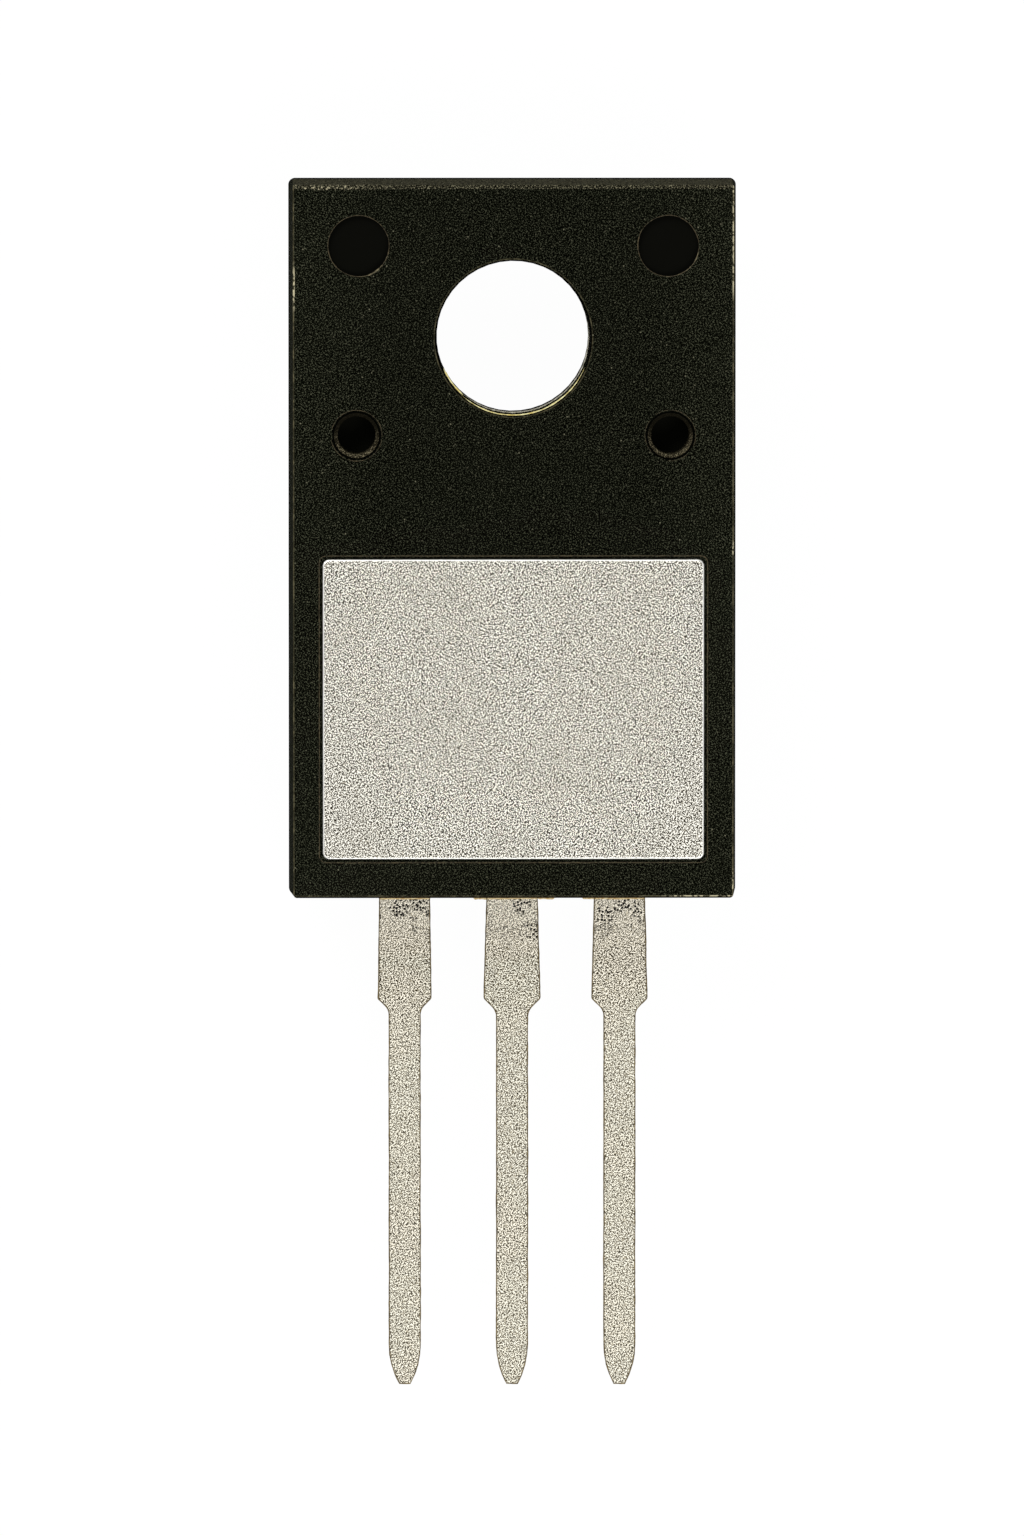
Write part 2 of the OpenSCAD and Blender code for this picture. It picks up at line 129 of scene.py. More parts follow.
class Surface(Nodes):
    """The nodes of one surface's material, with places in millimetres."""

    # Tilts the solid patterns, so that none of them lines up with a side
    TURN = (0.7, 0.5, 1.1)

    def __init__(self, name):
        self.material = bpy.data.materials.new(name)
        self.material.use_nodes = True
        super().__init__(self.material.node_tree)
        place = self.add("TexCoord").outputs["Object"]
        self.mm = self.scaled(place, 1 / MM)
        self.turned = self.mapped(self.mm, Rotation=self.TURN)
        self.x, self.y, self.z = self.add("SeparateXYZ", {0: self.mm}).outputs
        normal = self.add("NewGeometry").outputs["Normal"]
        self.nx, self.ny, self.nz = self.add("SeparateXYZ", {0: normal}).outputs

    def scaled(self, vector, factor):
        return self.add("VectorMath", {0: vector, "Scale": factor}, operation="SCALE").outputs[0]

    def mapped(self, vector, **settings):
        return self.add("Mapping", {0: vector, **settings}).outputs[0]

    def span(self, value, low, high, to_low=0.0, to_high=1.0):
        """Carries low to high over to to_low to to_high, smoothly and clamped."""
        return self.add(
            "MapRange", {0: value, 1: low, 2: high, 3: to_low, 4: to_high},
            interpolation_type="SMOOTHSTEP",
        ).outputs[0]

    def between(self, value, low, high, soft):
        rise = self.span(value, low - soft, low + soft)
        fall = self.span(value, high - soft, high + soft, 1.0, 0.0)
        return self.times(rise, fall)

    def distance(self, x, y, mirrored=False):
        """Distance in plan from a point, or from it and its mirror image."""
        px = self.math("ABSOLUTE", self.x) if mirrored else self.x
        dx = self.math("SUBTRACT", px, x)
        dy = self.math("SUBTRACT", self.y, y)
        return self.math("SQRT", self.math("ADD", self.times(dx, dx), self.times(dy, dy)))

    def flat(self):
        """The two coordinates that run along the side a point is on."""
        to_x = self.math("GREATER_THAN", self.math("ABSOLUTE", self.nx), 0.5)
        upright = self.math("LESS_THAN", self.math("ABSOLUTE", self.nz), 0.5)
        across = self.math("SUBTRACT", self.y, self.x)
        along = self.math("SUBTRACT", self.z, self.y)
        u = self.math("ADD", self.x, self.times(to_x, across))
        v = self.math("ADD", self.y, self.times(upright, along))
        return self.add("CombineXYZ", {0: u, 1: v}).outputs[0]

    def noise(self, scale, detail=2.0, roughness=0.5, shift=0.0, upright=1.0):
        """Below 1, upright draws the noise out along Z."""
        place = self.turned
        if upright != 1.0:
            drawn = self.mapped(self.mm, Scale=(1, 1, upright))
            place = self.mapped(drawn, Rotation=self.TURN)
        inputs = {
            "Vector": self.mapped(place, Location=(shift,) * 3),
            "Scale": scale, "Detail": detail, "Roughness": roughness,
        }
        return self.add("TexNoise", inputs).outputs[0]

    def specks(self, scale, size, share, shift=0.0, flat=False):
        """Softly edged dots in some of the cells. Laid flat, all are cut through the middle."""
        place = self.mapped(self.flat() if flat else self.turned, Location=(shift,) * 3)
        cells = self.add(
            "TexVoronoi", {"Vector": place, "Scale": scale, "Randomness": 1.0},
            voronoi_dimensions="2D" if flat else "3D",
        )
        dot = self.span(cells.outputs["Distance"], size * 0.5, size, 1.0, 0.0)
        pick = self.add("SeparateColor", {0: cells.outputs["Color"]}).outputs[0]
        return self.times(dot, self.span(pick, 1 - share, 1 - share + 0.1))

    def cells(self, scale, shift):
        """The difference of two cell patterns: an even grain about zero, with no slow waves."""
        place = self.flat()
        parts = []
        for turn in (0.6, 2.3):
            where = self.mapped(place, Location=(shift, turn, 0), Rotation=(0, 0, turn))
            cell = self.add(
                "TexVoronoi", {"Vector": where, "Scale": scale, "Randomness": 0.85},
                voronoi_dimensions="2D",
            )
            parts.append(cell.outputs["Distance"])
        return self.math("SUBTRACT", *parts)

    def mix(self, factor, a, b):
        return self.add("Mix", {0: factor, 6: a, 7: b}, data_type="RGBA").outputs[2]

    def ramp(self, factor, *stops):
        """Each stop is a place from 0 to 1 and the colour there."""
        n = self.add("ValToRGB", {0: factor})
        points = n.color_ramp.elements
        while len(points) < len(stops):
            points.new(1.0)
        for point, (at, colour) in zip(points, stops):
            point.position = at
            point.color = srgb(*colour)
        return n.outputs[0]

    def finish(self, colour, roughness, height, depth, **fixed):
        bump = self.add("Bump", {"Height": height, "Distance": depth * MM, "Strength": 1.0})
        shader = self.add(
            "BsdfPrincipled",
            {"Base Color": colour, "Roughness": roughness, "Normal": bump.outputs[0]},
        )
        for key, value in fixed.items():
            shader.inputs[key.replace("_", " ")].default_value = value
        self.add("OutputMaterial", {0: shader.outputs[0]})
        return self.material


# The moulding

FILLER = srgb(128, 126, 104)
BARED_FILLER = srgb(206, 197, 162)
# The colour of the painted highlight along the back's edges
PAINTED_EDGE_HIGHLIGHT = srgb(120, 113, 86)
# Colours of painted shade, for dark bands and outlines where shade falls
PAINTED_SHADE = srgb(3, 3, 2)
DEEPER_PAINTED_SHADE = srgb(2, 2, 1)

# Where the edges of the back are chipped: from, to and how softly it ends
LEFT_CHIPS = (11.3, 12.2, 0.25)
RIGHT_CHIPS = ((11.6, 14.2, 0.2), (5.5, 5.8, 0.05), (-2.4, -1.9, 0.05))
BOTTOM_CHIPS = (3.6, 5.3, 0.3)


class Moulding(Surface):
    """Knows how far a point is from the body's edges and from its mounting hole."""

    # How far down from the back the band along its edges reaches, which carries the chips, painted
    # highlight and painted shade, and how soft the thin lines are
    EDGE_BAND_DEPTH = 0.085
    SOFT = 0.006

    def __init__(self, name):
        super().__init__(name)
        self.off_middle = self.math("ABSOLUTE", self.x)
        self.from_side = self.math("SUBTRACT", FACE_X, self.off_middle)
        self.from_top = self.math("SUBTRACT", FACE_TOP_Y, self.y)
        self.from_bottom = self.math("SUBTRACT", self.y, FACE_BOTTOM_Y)
        self.to_hole = self.distance(0.0, HOLE_Y)
        edge_band_z = BACK_Z - self.EDGE_BAND_DEPTH
        self.back_edge = self.span(self.z, edge_band_z, edge_band_z + 0.02)
        self.wall = self.times(self.span(self.nz, 0.2, 0.1), self.span(self.nz, -0.2, -0.1))

    def line(self, value, low, high, strength=1.0):
        return self.times(self.between(value, low, high, self.SOFT), strength)


def moulded_grain(g, grain):
    """The dark grain, a little paler towards the sides and the lead end, with filler specks."""
    colour = g.ramp(
        grain, (0.0, (0, 0, 0)), (0.2, (1, 1, 0)), (0.5, (10, 11, 6)),
        (0.8, (24, 26, 18)), (1.0, (64, 66, 52)),
    )
    broad = g.noise(0.35, 2.0, 0.5, shift=7.7)
    colour = g.mix(g.span(broad, 0.3, 0.7, 0.0, 0.1), colour, srgb(26, 27, 20))

    towards_side = g.span(g.off_middle, 2.8, 4.7)
    towards_leads = g.span(g.y, -1.2, -1.8)
    on_back = g.span(g.nz, 0.5, 0.9)
    paler = g.times(g.either(towards_side, towards_leads), on_back, 0.28)
    colour = g.scaled(colour, g.math("ADD", 1.0, paler))

    large = g.times(g.specks(5.0, 0.11, 0.25), 0.8)
    small = g.times(g.specks(10.0, 0.2, 0.3, 5.0), 0.38)
    return g.mix(g.either(large, small), colour, FILLER)


def painted_wall_light_and_shade(g, colour, grain):
    """Painted shade on the walls by the parting plane except at the lead end, and painted light on
    the wall above it at the hole end and on the top edge of the back.
    """
    outside = g.times(g.wall, g.span(g.to_hole, 2.0, 2.4))
    # Painted shade: a dark band on the walls by the parting plane, except at the lead end
    low = g.between(g.z, PARTING_Z - 0.05, PARTING_Z + 0.6, 0.2)
    not_lead_end = g.span(g.ny, -0.9, -0.6)
    colour = g.mix(g.times(outside, low, not_lead_end, 0.55), colour, PAINTED_SHADE)

    # Painted light: the wall at the hole end, above the parting plane, is paler where the light from
    # above falls
    high = g.span(g.z, PARTING_Z + 0.3, PARTING_Z + 0.6)
    hole_end = g.times(outside, g.span(g.ny, 0.8, 0.95), high)
    lit_wall_noise = g.span(g.noise(23.0, 1.0, upright=0.42, shift=6.0), 0.34, 0.66)
    pale = g.ramp(
        g.math("ADD", g.times(lit_wall_noise, 0.7), g.times(grain, 0.3)),
        (0.0, (24, 24, 17)), (0.35, (40, 39, 30)), (0.65, (57, 56, 44)), (1.0, (94, 91, 72)),
    )
    colour = g.mix(hole_end, colour, pale)

    # Painted light: the top edge of the back is paler, like the hole-end wall below it
    strip = g.times(g.back_edge, g.span(g.from_top, 0.1, 0.085))
    strip_grain = g.ramp(
        grain, (0.0, (6, 6, 2)), (0.5, (37, 36, 28)), (0.8, (68, 66, 52)), (1.0, (126, 122, 98)),
    )
    return g.mix(strip, colour, strip_grain)


def mould_marks(g, colour):
    """Dark ejector marks, and pin holes whose bevel has a ring of painted shade at its edge and
    painted light on its side away from the mounting hole. Gives also where it is smooth.
    """
    to_ejector = g.distance(EJECTOR_X, EJECTOR_Y, mirrored=True)
    mark = g.times(
        g.span(to_ejector, EJECTOR_R + 0.02, EJECTOR_R - 0.005),
        g.between(g.z, BACK_Z - 0.3, BACK_Z - 0.025, 0.01),
    )
    colour = g.mix(mark, colour, srgb(13, 13, 10))

    to_pin = g.distance(PIN_X, PIN_Y, mirrored=True)
    well = g.span(to_pin, PIN_R + 0.005, PIN_R - 0.01)
    colour = g.mix(well, colour, srgb(28, 28, 22))

    rim_r = PIN_BEVEL_R - 0.035
    # A ring of painted shade round the bevel's outer edge
    ring = g.between(to_pin, rim_r, PIN_BEVEL_R + 0.015, 0.01)
    colour = g.mix(ring, colour, PAINTED_SHADE)
    bevel = g.between(to_pin, PIN_R - 0.005, rim_r, 0.01)
    colour = g.mix(bevel, colour, srgb(20, 18, 12))

    # The bevels get painted light, in flecks, most on the side away from the mounting hole, which
    # faces the key light
    lit_side = g.span(g.math("SUBTRACT", g.y, PIN_Y), 0.25, -0.4, 0.04, 1.0)
    lit_flecks = g.span(g.noise(34.0, 0.0, shift=2.0), 0.48, 0.7)
    colour = g.mix(g.times(bevel, lit_side, 0.3), colour, srgb(60, 55, 40))
    colour = g.mix(g.times(bevel, lit_flecks, lit_side), colour, srgb(128, 120, 95))
    return colour, g.either(mark, well)


def painted_edge_light_shade_and_chips(g, colour):
    """Painted shade at the hole's rim and along the bottom edge, and round the back a painted
    highlight on the edge that comes and goes.
    """
    # Painted shade at the hole's rim
    rim = g.times(g.back_edge, g.line(g.to_hole, HOLE_R - 0.02, HOLE_R + 0.028))
    colour = g.mix(rim, colour, DEEPER_PAINTED_SHADE)

    # A painted highlight along the back's edges, in dashes
    beyond_rim = g.line(g.to_hole, HOLE_R + 0.034, HOLE_R + 0.06, 0.5)
    line_side = g.line(g.from_side, -0.006, 0.026, 0.9)
    line_bottom = g.line(g.from_bottom, 0.035, 0.06, 0.6)
    lines = g.either(beyond_rim, line_side, line_bottom)
    dashes = g.span(g.noise(3.2, 4.0, 0.75, shift=11.0), 0.45, 0.62, 0.2, 0.85)
    colour = g.mix(g.times(g.back_edge, lines, dashes), colour, PAINTED_EDGE_HIGHLIGHT)
    # Painted shade along the bottom edge
    dark_edge = g.times(g.back_edge, g.span(g.from_bottom, 0.035, 0.028))
    colour = g.mix(dark_edge, colour, DEEPER_PAINTED_SHADE)

    # Chips along some of the edges have bared the pale filler
    left_edge = g.span(g.x, 0.05 - FACE_X, 0.03 - FACE_X)
    left = g.times(left_edge, g.between(g.y, *LEFT_CHIPS))
    right_edge = g.times(g.span(g.x, -1.0, 1.0), g.line(g.from_side, -0.01, 0.028))
    right = g.times(right_edge, g.either(*[g.between(g.y, *run) for run in RIGHT_CHIPS]))
    bottom = g.times(line_bottom, g.between(g.x, *BOTTOM_CHIPS), 1.6)
    top_edge = g.span(g.from_top, 0.13, 0.1)
    corner = g.times(top_edge, g.span(g.x, 2.8 - FACE_X, 0.4 - FACE_X), 0.75)

    crumbs = g.either(g.specks(15.0, 0.4, 0.45, 2.0), g.specks(21.0, 0.42, 0.4, 12.0))
    dashed = g.either(crumbs, g.span(g.noise(11.0, 0.0, shift=31.0), 0.45, 0.56))
    chipped = g.either(g.times(g.either(left, right, bottom), dashed), g.times(corner, crumbs))
    return g.mix(g.times(g.back_edge, chipped), colour, BARED_FILLER)


def moulding_compound():
    g = Moulding("moulding_compound")
    fine = g.cells(scale=28.0, shift=0.0)
    grain = g.span(fine, -0.45, 0.45)
    colour = moulded_grain(g, grain)
    colour = painted_wall_light_and_shade(g, colour, grain)
    colour, smooth = mould_marks(g, colour)
    colour = painted_edge_light_shade_and_chips(g, colour)
    height = g.times(fine, g.math("SUBTRACT", 1.0, smooth))
    coarse = g.noise(6.0, 1.0, 0.5, shift=3.1)
    rough = g.either(g.span(coarse, 0.3, 0.7, 0.7, 0.84), g.wall)
    return g.finish(colour, rough, height, 0.004, Specular_IOR_Level=0.004)


# The plating

PIT = srgb(10, 8, 4)
HOLLOW = srgb(20, 16, 8)
BARE_COPPER = srgb(150, 104, 72)
# Painted highlight on the rounded edge of the bare face
PAINTED_PAD_HIGHLIGHT = srgb(255, 254, 248)
# The brightest that the painted light may make a root, so that the gain there keeps it warm
BRIGHTEST_ROOT = (1.0, 0.94, 0.8)
ROOT_LENGTH = 1.7

# Where pits crowd on the leads: the place across, and how far below the body
PIT_PATCHES = (
    (-2.66, 0.31), (-2.18, 0.17), (0.23, 0.22), (0.49, 0.83), (2.17, 0.45), (2.67, 0.13),
)


def pitted_roots_with_painted_light(g, colour, fine, pits):
    """Coarser close to the body, where pits crowd, and paler there too with painted light against
    the body's shadow on the roots; paler also past the shoulders.
    """
    near_body = g.span(g.y, LEAD_END_Y - ROOT_LENGTH, LEAD_END_Y)
    hollows = g.times(near_body, g.span(fine, 0.02, -0.16), 0.7)
    colour = g.mix(hollows, colour, HOLLOW)
    # Painted light near the body, lifting the roots where the body's shadow falls on them
    colour = g.mix(g.times(near_body, 0.16), colour, srgb(236, 230, 212))
    colour = g.scaled(colour, g.math("ADD", 1.0, g.times(near_body, 0.6)))
    capped = g.add("VectorMath", {0: colour, 1: BRIGHTEST_ROOT}, operation="MINIMUM")
    past_shoulder = g.span(g.y, LEAD_END_Y - 2.9, LEAD_END_Y - 2.4, 0.07, 0.0)
    colour = g.mix(past_shoulder, capped.outputs[0], srgb(226, 221, 206))

    patches = [
        g.span(g.distance(x, LEAD_END_Y - below_body), 0.3, 0.12)
        for x, below_body in PIT_PATCHES
    ]
    near_root = g.span(g.y, LEAD_END_Y - 1.6, LEAD_END_Y - 0.1, 0.0, 0.7)
    worn = g.times(g.span(g.noise(2.6, 1.0, 0.5, shift=21.0), 0.52, 0.6), near_root)
    dots = g.specks(13.0, 0.46, 0.75, 8.0, flat=True)
    return colour, g.either(pits, g.times(dots, g.either(*patches, worn), 1.6))


def plated(name, mean, dark, light, scale, reach, is_lead):
    """Fine matt plating, darkest where its grain is at -reach and lightest at reach."""
    g = Surface(name)
    fine = g.cells(scale, shift=5.0)
    colour = g.ramp(
        g.span(fine, -reach, reach), (0.0, dark), (0.5, mean), (0.8, light), (1.0, (255, 253, 242)),
    )
    broad = g.noise(0.6, 2.0, 0.5, shift=9.0)
    duller = srgb(*[v * 0.95 for v in mean])
    colour = g.mix(g.span(broad, 0.35, 0.65, 0.0, 0.1), colour, duller)

    crowd = g.span(g.noise(1.4, 2.0, 0.5, shift=15.0), 0.42, 0.66)
    pits = g.either(
        g.times(g.specks(13.0, 0.34, 0.3, 1.0), crowd),
        g.specks(9.0, 0.2, 0.06, 6.0),
        g.times(g.specks(22.0, 0.5, 0.22, 3.0, flat=True), 0.42),
    )
    if is_lead:
        colour, pits = pitted_roots_with_painted_light(g, colour, fine, pits)
    colour = g.mix(pits, colour, PIT)
    if is_lead:
        # The sheared ends show the copper
        colour = g.mix(g.span(g.ny, -0.7, -0.95, 0.0, 0.6), colour, BARE_COPPER)
    else:
        # The rounded edge of the bare face gets a painted highlight
        colour = g.mix(g.span(g.nz, 0.995, 0.96), colour, PAINTED_PAD_HIGHLIGHT)
    rough = g.span(fine, -0.4, 0.4, 0.3, 0.44)
    return g.finish(colour, rough, g.math("SUBTRACT", fine, pits), 0.003, Metallic=0.85)


# The small pieces and the inside

def grainy(name, low, high, scale, depth, rough, **fixed):
    """A grain between two colours."""
    g = Surface(name)
    grain = g.noise(scale, 3.0, 0.6)
    colour = g.ramp(g.span(grain, 0.3, 0.7), (0.0, low), (1.0, high))
    roughness = g.span(grain, 0.3, 0.7, rough - 0.08, rough + 0.08)
    return g.finish(colour, roughness, grain, depth, **fixed)


moulding = moulding_compound()
pad_metal = plated(
    "plated_copper", (183, 176, 158), (34, 28, 15), (247, 243, 232),
    scale=27.0, reach=0.17, is_lead=False)
lead_metal = plated(
    "plated_leads", (178, 168, 142), (42, 33, 16), (241, 234, 213),
    scale=28.0, reach=0.195, is_lead=True)
silicon = grainy("silicon", (58, 62, 78), (104, 110, 128), 6.0, 0.002, 0.3, Metallic=0.6)
solder = grainy("solder", (120, 120, 124), (178, 178, 184), 9.0, 0.004, 0.5, Metallic=0.9)
wire_metal = grainy(
    "bond_wire", (190, 192, 196), (232, 234, 238), 24.0, 0.002, 0.35, Metallic=1.0)
# Pale: painted light on the side of the ejector lips that faces the key light
lit_rim_resin = grainy(
    "lit_rim_resin", (48, 44, 30), (136, 127, 98), 14.0, 0.003, 0.7, Specular_IOR_Level=0.2)
lip_resin = grainy(
    "lip_resin", (34, 30, 19), (92, 82, 60), 16.0, 0.004, 0.7, Specular_IOR_Level=0.2)
# Pale resins for the painted highlights on the mounting hole's wall
hole_band_highlight_resin = grainy(
    "hole_band_highlight_resin", (150, 144, 120), (252, 248, 228), 11.0, 0.004, 0.7, Specular_IOR_Level=0.3)
hole_highlight_resin = grainy(
    "hole_highlight_resin", (222, 200, 110), (255, 250, 190), 7.0, 0.003, 0.5, Specular_IOR_Level=0.4)
# Dark brown: the burr's metal, painted dark as the shade on the leads' edges
edge_metal = grainy(
    "edge_metal", (66, 54, 30), (140, 124, 88), 14.0, 0.002, 0.5, Metallic=0.5)
amber_resin = grainy(
    "amber_resin", (200, 158, 84), (255, 234, 178), 12.0, 0.003, 0.45, Specular_IOR_Level=0.5)

NODE_MATERIALS = {
    "moulded_body": moulding,
    "heat_spreader": pad_metal,
    "collector_lead": lead_metal,
    "base_lead": lead_metal,
    "emitter_lead": lead_metal,
    "silicon_die": silicon,
    "die_solder": solder,
    "foot_solder": solder,
    "base_wire": wire_metal,
    "emitter_wire_1": wire_metal,
    "emitter_wire_2": wire_metal,
}
for node_name, node_material in NODE_MATERIALS.items():
    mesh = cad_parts[node_name].data
    mesh.materials.clear()
    mesh.materials.append(node_material)


# Small pieces, built in millimetres

UP = (0, 0, 1)
TOWARDS_TIPS = (0, -1, 0)
BEAD_SIDES = 8
# How many times to the millimetre a bead swells, slowly and quickly, and strays sideways
SLOW_SWELL = 4.0
QUICK_SWELL = 13.0
STRAY = 2.2
# Two places this near each other are the same
SAME = 0.001


def piece(name, points, faces, material):
    mesh = bpy.data.meshes.new(name)
    mesh.from_pydata([tuple(c * MM for c in p) for p in points], [], faces)
    mesh.validate()
    mesh.polygons.foreach_set("use_smooth", [True] * len(mesh.polygons))
    mesh.materials.append(material)
    made = bpy.data.objects.new(name, mesh)
    scene.collection.objects.link(made)
    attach(made, "root")
    return made


def bead(name, route, width, height, material, seed,
         closed=True, wobble=0.35, taper=8.0):
    """A thin irregular bead along a route of (point, outward, up), thinner at open ends."""
    points, faces = [], []
    count, sides = len(route), BEAD_SIDES
    for i, (centre, outward, up) in enumerate(route):
        at = Vector(centre)
        swell = 1 + wobble * noise.noise(at * SLOW_SWELL + Vector((seed, 0, 0)))
        swell *= 1 + wobble * noise.noise(at * QUICK_SWELL + Vector((0, seed, 0)))
        drift = 0.8 * wobble * width * noise.noise(at * STRAY + Vector((0, 0, seed)))
        fade = 1.0
        if not closed:
            fade = min(1.0, taper * min(i + 0.2, count - 1 - i + 0.2) / count)
        for k in range(sides):
            a = 2 * math.pi * k / sides
            points.append(
                at + Vector(outward) * (drift + math.cos(a) * width / 2 * swell * fade)
                + Vector(up) * (math.sin(a) * height * swell * fade)
            )
    last = count if closed else count - 1
    for i in range(last):
        j = (i + 1) % count
        for k in range(sides):
            m = (k + 1) % sides
            faces.append((i * sides + k, j * sides + k, j * sides + m, i * sides + m))
    if not closed:
        faces.append(tuple(range(sides)))
        faces.append(tuple((count - 1) * sides + k for k in reversed(range(sides))))
    return piece(name, points, faces, material)


def ring_route(x, y, z, radius, count, start=0.0, sweep=360.0):
    """Round a circle, or part of it from start on, in degrees."""
    steps = count if sweep >= 360 else count - 1
    route = []
    for i in range(count):
        a = math.radians(start + sweep * i / steps)
        out = (math.cos(a), math.sin(a), 0)
        route.append(((x + radius * out[0], y + radius * out[1], z), out, UP))
    return route


def window_route(grow, z, step):
    """Round the bare face, a little outside it, with its corners as tight as the face's own."""
    r = PAD_CORNER_R
    corner_x = PAD_X + grow - r
    corner_y = {1: PAD_TOP_Y + grow - r, -1: PAD_BOTTOM_Y - grow + r}
    corners = [(1, 1, 0), (-1, 1, 90), (-1, -1, 180), (1, -1, 270)]
    route = []

    def add(x, y, degrees):
        a = math.radians(degrees)
        out = (math.cos(a), math.sin(a), 0)
        route.append(((x + r * out[0], y + r * out[1], z), out, UP))

    for n, (side_x, side_y, first) in enumerate(corners):
        x, y = side_x * corner_x, corner_y[side_y]
        for i in range(7):
            add(x, y, first + 15 * i)
        next_x, next_y, _ = corners[(n + 1) % 4]
        a = Vector((x, y))
        b = Vector((next_x * corner_x, corner_y[next_y]))
        pieces = max(2, int((b - a).length / step))
        for i in range(1, pieces):
            add(*a.lerp(b, i / pieces), first + 90)
    return route


def outline_route(node, step, inset):
    """Down one edge of a lead's back, round its tip and up the other."""
    found = {
        (round(v.co.x / MM, 3), round(v.co.y / MM, 3))
        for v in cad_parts[node].data.vertices
        if abs(v.co.z / MM - PARTING_Z) < SAME and v.co.y / MM < LEAD_END_Y + SAME
    }
    middle = (min(x for x, _ in found) + max(x for x, _ in found)) / 2
    left = sorted((p for p in found if p[0] < middle), key=lambda p: -p[1])
    right = sorted((p for p in found if p[0] >= middle), key=lambda p: p[1])
    corners = [Vector(p) for p in left + right]
    points = [corners[0]]
    for a, b in zip(corners, corners[1:]):
        count = max(1, round((b - a).length / step))
        points += [a.lerp(b, k / count) for k in range(1, count + 1)]
    route = []
    for i, at in enumerate(points):
        along = points[min(i + 1, len(points) - 1)] - points[max(i - 1, 0)]
        out = Vector((along.y, -along.x)).normalized()
        at = at - out * inset
        route.append(((at.x, at.y, PARTING_Z), (out.x, out.y, 0), UP))
    return route


def collar_route(x, y, half_width, low_z, high_z, step):
    """Round a lead's section. Its outward direction is along the lead."""
    corners = [(x + half_width, low_z), (x + half_width, high_z),
               (x - half_width, high_z), (x - half_width, low_z)]
    normals = [(1, 0, 0), (0, 0, 1), (-1, 0, 0), (0, 0, -1)]
    route = []
    for i, normal in enumerate(normals):
        a, b = Vector(corners[i]), Vector(corners[(i + 1) % 4])
        count = max(2, round((b - a).length / step))
        for k in range(count):
            px, pz = a.lerp(b, (k + 0.5) / count)
            route.append(((px, y, pz), TOWARDS_TIPS, normal))
    return route


def flash_route(x0, x1, y, z, count):
    """Straight across, with its outward direction along the leads."""
    return [((x0 + (x1 - x0) * i / (count - 1), y, z), TOWARDS_TIPS, UP) for i in range(count)]


# Lips that the mould left round the bare face, the ejector marks and the pin holes, and on each
# ejector lip a pale arc of painted light
LIP_Z = BACK_Z - 0.004
EJECTOR_LIP_R = EJECTOR_R + 0.006
PIN_LIP_R = PIN_BEVEL_R + 0.036
bead("window_lip", window_route(grow=PAD_GROOVE + 0.028, z=BACK_Z - 0.002, step=0.07),
     width=0.022, height=0.01, material=lip_resin, seed=3.0)
for side, x in (("left", -EJECTOR_X), ("right", EJECTOR_X)):
    bead("ejector_lip_" + side, ring_route(x, EJECTOR_Y, LIP_Z, EJECTOR_LIP_R, count=150),
         width=0.018, height=0.012, material=lip_resin, seed=5.0 + x, wobble=0.7)
    # A pale arc of painted light on the side of the lip that faces the key light
    bead("ejector_rim_highlight_" + side,
         ring_route(x, EJECTOR_Y, LIP_Z, EJECTOR_LIP_R, count=60, start=262, sweep=95),
         width=0.02, height=0.014, material=lit_rim_resin, seed=6.0 + x, closed=False, wobble=0.8)
for side, x in (("left", -PIN_X), ("right", PIN_X)):
    bead("pin_hole_lip_" + side, ring_route(x, PIN_Y, LIP_Z, PIN_LIP_R, count=110),
         width=0.013, height=0.008, material=lip_resin, seed=8.0 + x, wobble=0.9)

# Pale beads on the wall of the mounting hole that paint its highlights, the upper one in two steps
bead("hole_highlight_start",
     ring_route(0, HOLE_Y, BACK_Z - 0.04, HOLE_R - 0.03, count=60, start=203, sweep=26),
     width=0.036, height=0.02, material=hole_highlight_resin, seed=11.0, closed=False)
bead("hole_highlight_upper",
     ring_route(0, HOLE_Y, BACK_Z - 0.03, HOLE_R - 0.004, count=200, start=227, sweep=112),
     width=0.04, height=0.02, material=hole_highlight_resin, seed=12.0, closed=False)
bead("hole_highlight_lower",
     ring_route(0, HOLE_Y, LAND_TOP_Z - 0.1, LAND_R - 0.004, count=200, start=225, sweep=155),
     width=0.036, height=0.22, material=hole_band_highlight_resin, seed=13.0, closed=False)

# The burr that the stamping left along the leads' edges, coloured dark brown as painted shade on the
# edges
for side, _ in LEADS:
    bead("stamped_edge_" + side, outline_route(side + "_lead", step=0.08, inset=0.01),
         width=0.03, height=0.008, material=edge_metal, seed=40.0 + len(side),
         closed=False, taper=200.0)

# Thin amber flash where the resin crept along the leads' roots
FLASH_GAP = 0.002
for side, x in LEADS:
    collar = collar_route(
        x, LEAD_END_Y - 0.04, ROOT_W / 2 + FLASH_GAP,
        LEAD_BOTTOM_Z - FLASH_GAP, PARTING_Z + FLASH_GAP, step=0.04)
    bead("root_flash_" + side, collar,
         width=0.11, height=0.01, material=amber_resin, seed=20.0 + x, wobble=0.12)

# Flash left at the parting plane beside the middle lead and the base lead: from where to
# where across, and how far it reaches out
PARTING_FLASHES = (
    ("left", -0.95, -0.52, 0.095), ("right", 0.54, 1.05, 0.09), ("far", 1.62, 2.02, 0.09),
)
for name, x0, x1, reach in PARTING_FLASHES:
    bead("parting_flash_" + name,
         flash_route(x0, x1, LEAD_END_Y - 0.03, PARTING_Z - 0.02, count=24),
         width=reach * 1.5, height=0.014, material=amber_resin, seed=30.0 + x0,
         closed=False, wobble=0.15, taper=6.0)


# Camera: above the back, a little beyond the hole end and to the emitter's side

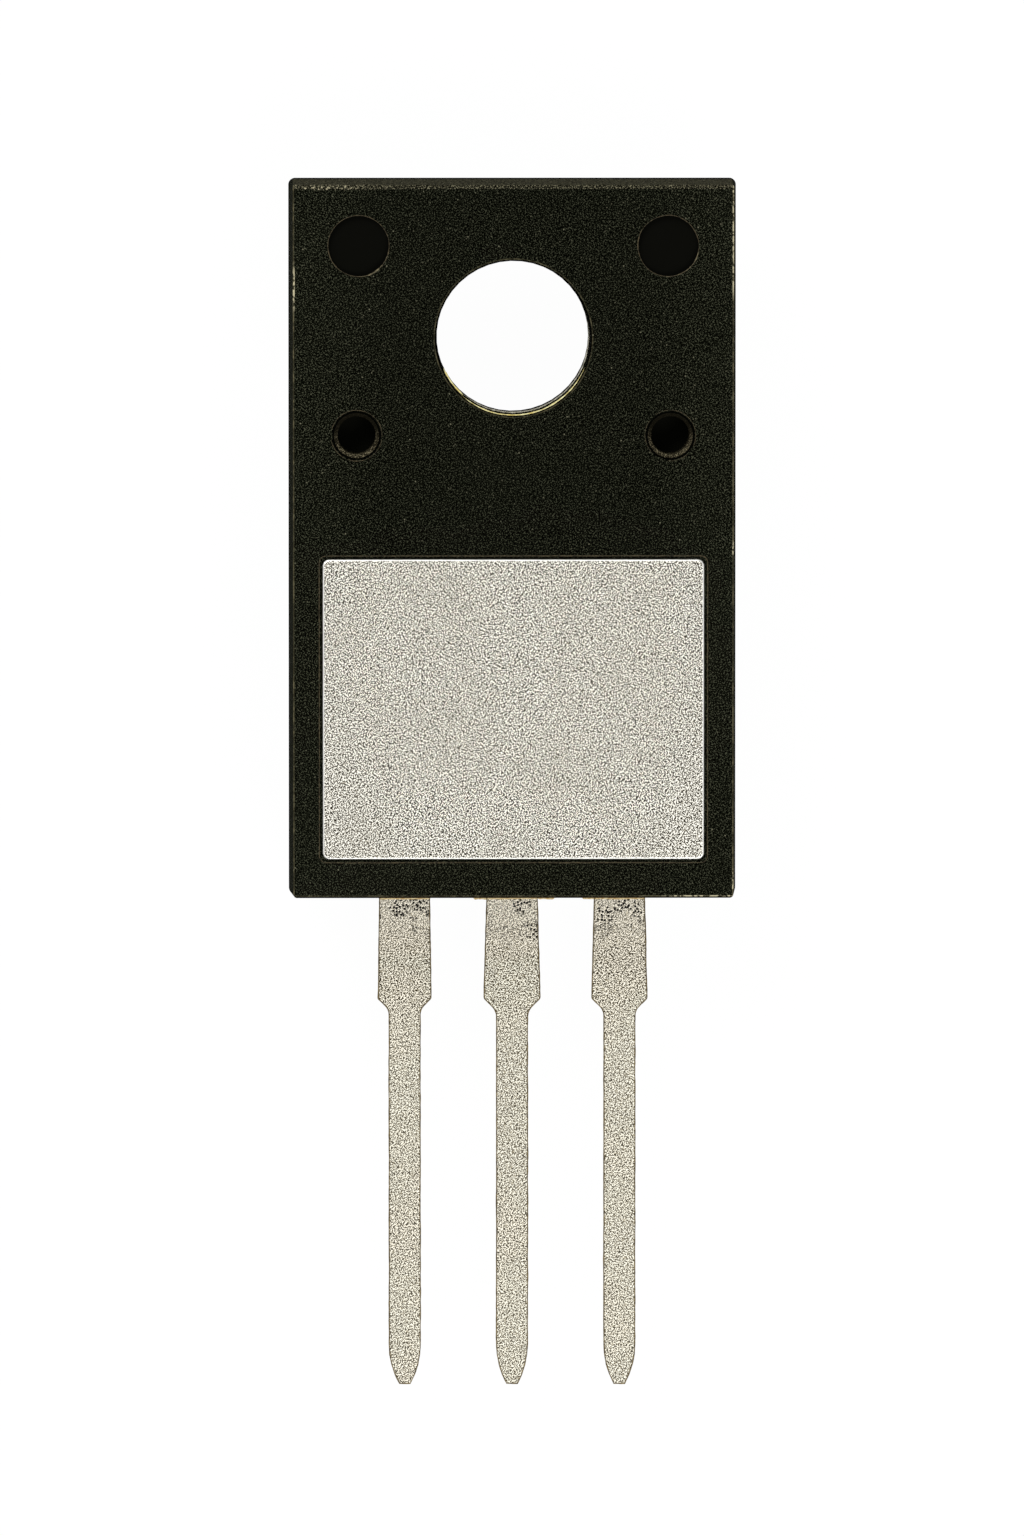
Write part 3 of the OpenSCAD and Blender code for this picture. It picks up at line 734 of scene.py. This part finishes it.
CAMERA_AT = Vector((-4.4, 21.77, 354.6)) * MM
CAMERA_AIM = Vector((-0.034, 0.494, 4.6)) * MM
CAMERA_LENS = 350.44
NEAREST = 0.05
FARTHEST = 20.0

camera_data = bpy.data.cameras.new("camera")
camera_data.lens = CAMERA_LENS
camera_data.clip_start = NEAREST
camera_data.clip_end = FARTHEST
camera = bpy.data.objects.new("camera", camera_data)
scene.collection.objects.link(camera)
scene.camera = camera
forward = (CAMERA_AIM - CAMERA_AT).normalized()
upright = (Vector((0, 1, 0)) - forward * forward.y).normalized()
right = forward.cross(upright)
camera.matrix_world = Matrix((
    (right.x, upright.x, -forward.x, CAMERA_AT.x),
    (right.y, upright.y, -forward.y, CAMERA_AT.y),
    (right.z, upright.z, -forward.z, CAMERA_AT.z),
    (0, 0, 0, 1),
))


# Floor: white to the camera and in reflections, but it keeps the object's shadow

FLOOR_HALF = 3.0
FLOOR_Z = -1e-5
FLOOR_COLOUR = (0.8, 0.8, 0.8, 1)
SHADOW_COLOUR = (0.03, 0.03, 0.03, 1)
FLOOR_GLOW = 0.98


def floor_material():
    material = bpy.data.materials.new("floor")
    material.use_nodes = True
    g = Nodes(material.node_tree)
    rays = g.add("LightPath").outputs
    seen = g.either(rays["Is Camera Ray"], rays["Is Glossy Ray"], rays["Is Transmission Ray"])
    plain = g.add("BsdfDiffuse", {0: FLOOR_COLOUR}).outputs[0]
    faint = g.add("BsdfDiffuse", {0: SHADOW_COLOUR}).outputs[0]
    glow = g.add("Emission", {0: (1, 1, 1, 1), 1: FLOOR_GLOW}).outputs[0]
    white = g.add("AddShader", {0: faint, 1: glow}).outputs[0]
    both = g.add("MixShader", {0: seen, 1: plain, 2: white}).outputs[0]
    g.add("OutputMaterial", {0: both})
    return material


floor_mesh = bpy.data.meshes.new("floor")
floor_mesh.from_pydata(
    [(sx * FLOOR_HALF, sy * FLOOR_HALF, FLOOR_Z) for sx, sy in ((-1, -1), (1, -1), (1, 1), (-1, 1))],
    [], [(0, 1, 2, 3)],
)
floor_mesh.materials.append(floor_material())
floor = bpy.data.objects.new("floor", floor_mesh)
scene.collection.objects.link(floor)


# Light: an even world, white to the camera, and two softboxes

WORLD_LIGHT = 0.44
WORLD_SEEN = (("Is Glossy Ray", 0.8), ("Is Transmission Ray", 0.8), ("Is Camera Ray", 1.0))
SOFTBOX_SIZE = 0.35

world = bpy.data.worlds.new("studio")
scene.world = world
world.use_nodes = True
sky = Nodes(world.node_tree)
rays = sky.add("LightPath").outputs
level = WORLD_LIGHT
for ray, strength in WORLD_SEEN:
    level = sky.add("MapRange", {0: rays[ray], 3: level, 4: strength}).outputs[0]
background = sky.add("Background", {"Color": (1, 1, 1, 1), "Strength": level})
sky.add("OutputWorld", {0: background.outputs[0]})


def softbox(name, location, power):
    light = bpy.data.lights.new(name, "AREA")
    light.shape = "SQUARE"
    light.size = SOFTBOX_SIZE
    light.energy = power
    lamp = bpy.data.objects.new(name, light)
    lamp.location = location
    lamp.rotation_mode = "QUATERNION"
    lamp.rotation_quaternion = (-Vector(location)).to_track_quat("-Z", "Y")
    lamp.visible_camera = False
    scene.collection.objects.link(lamp)


softbox("key", (-0.25, 0.45, 0.5), power=2.0)
softbox("fill", (0.2, -0.4, 0.55), power=1.8)

scene.view_settings.view_transform = "Standard"
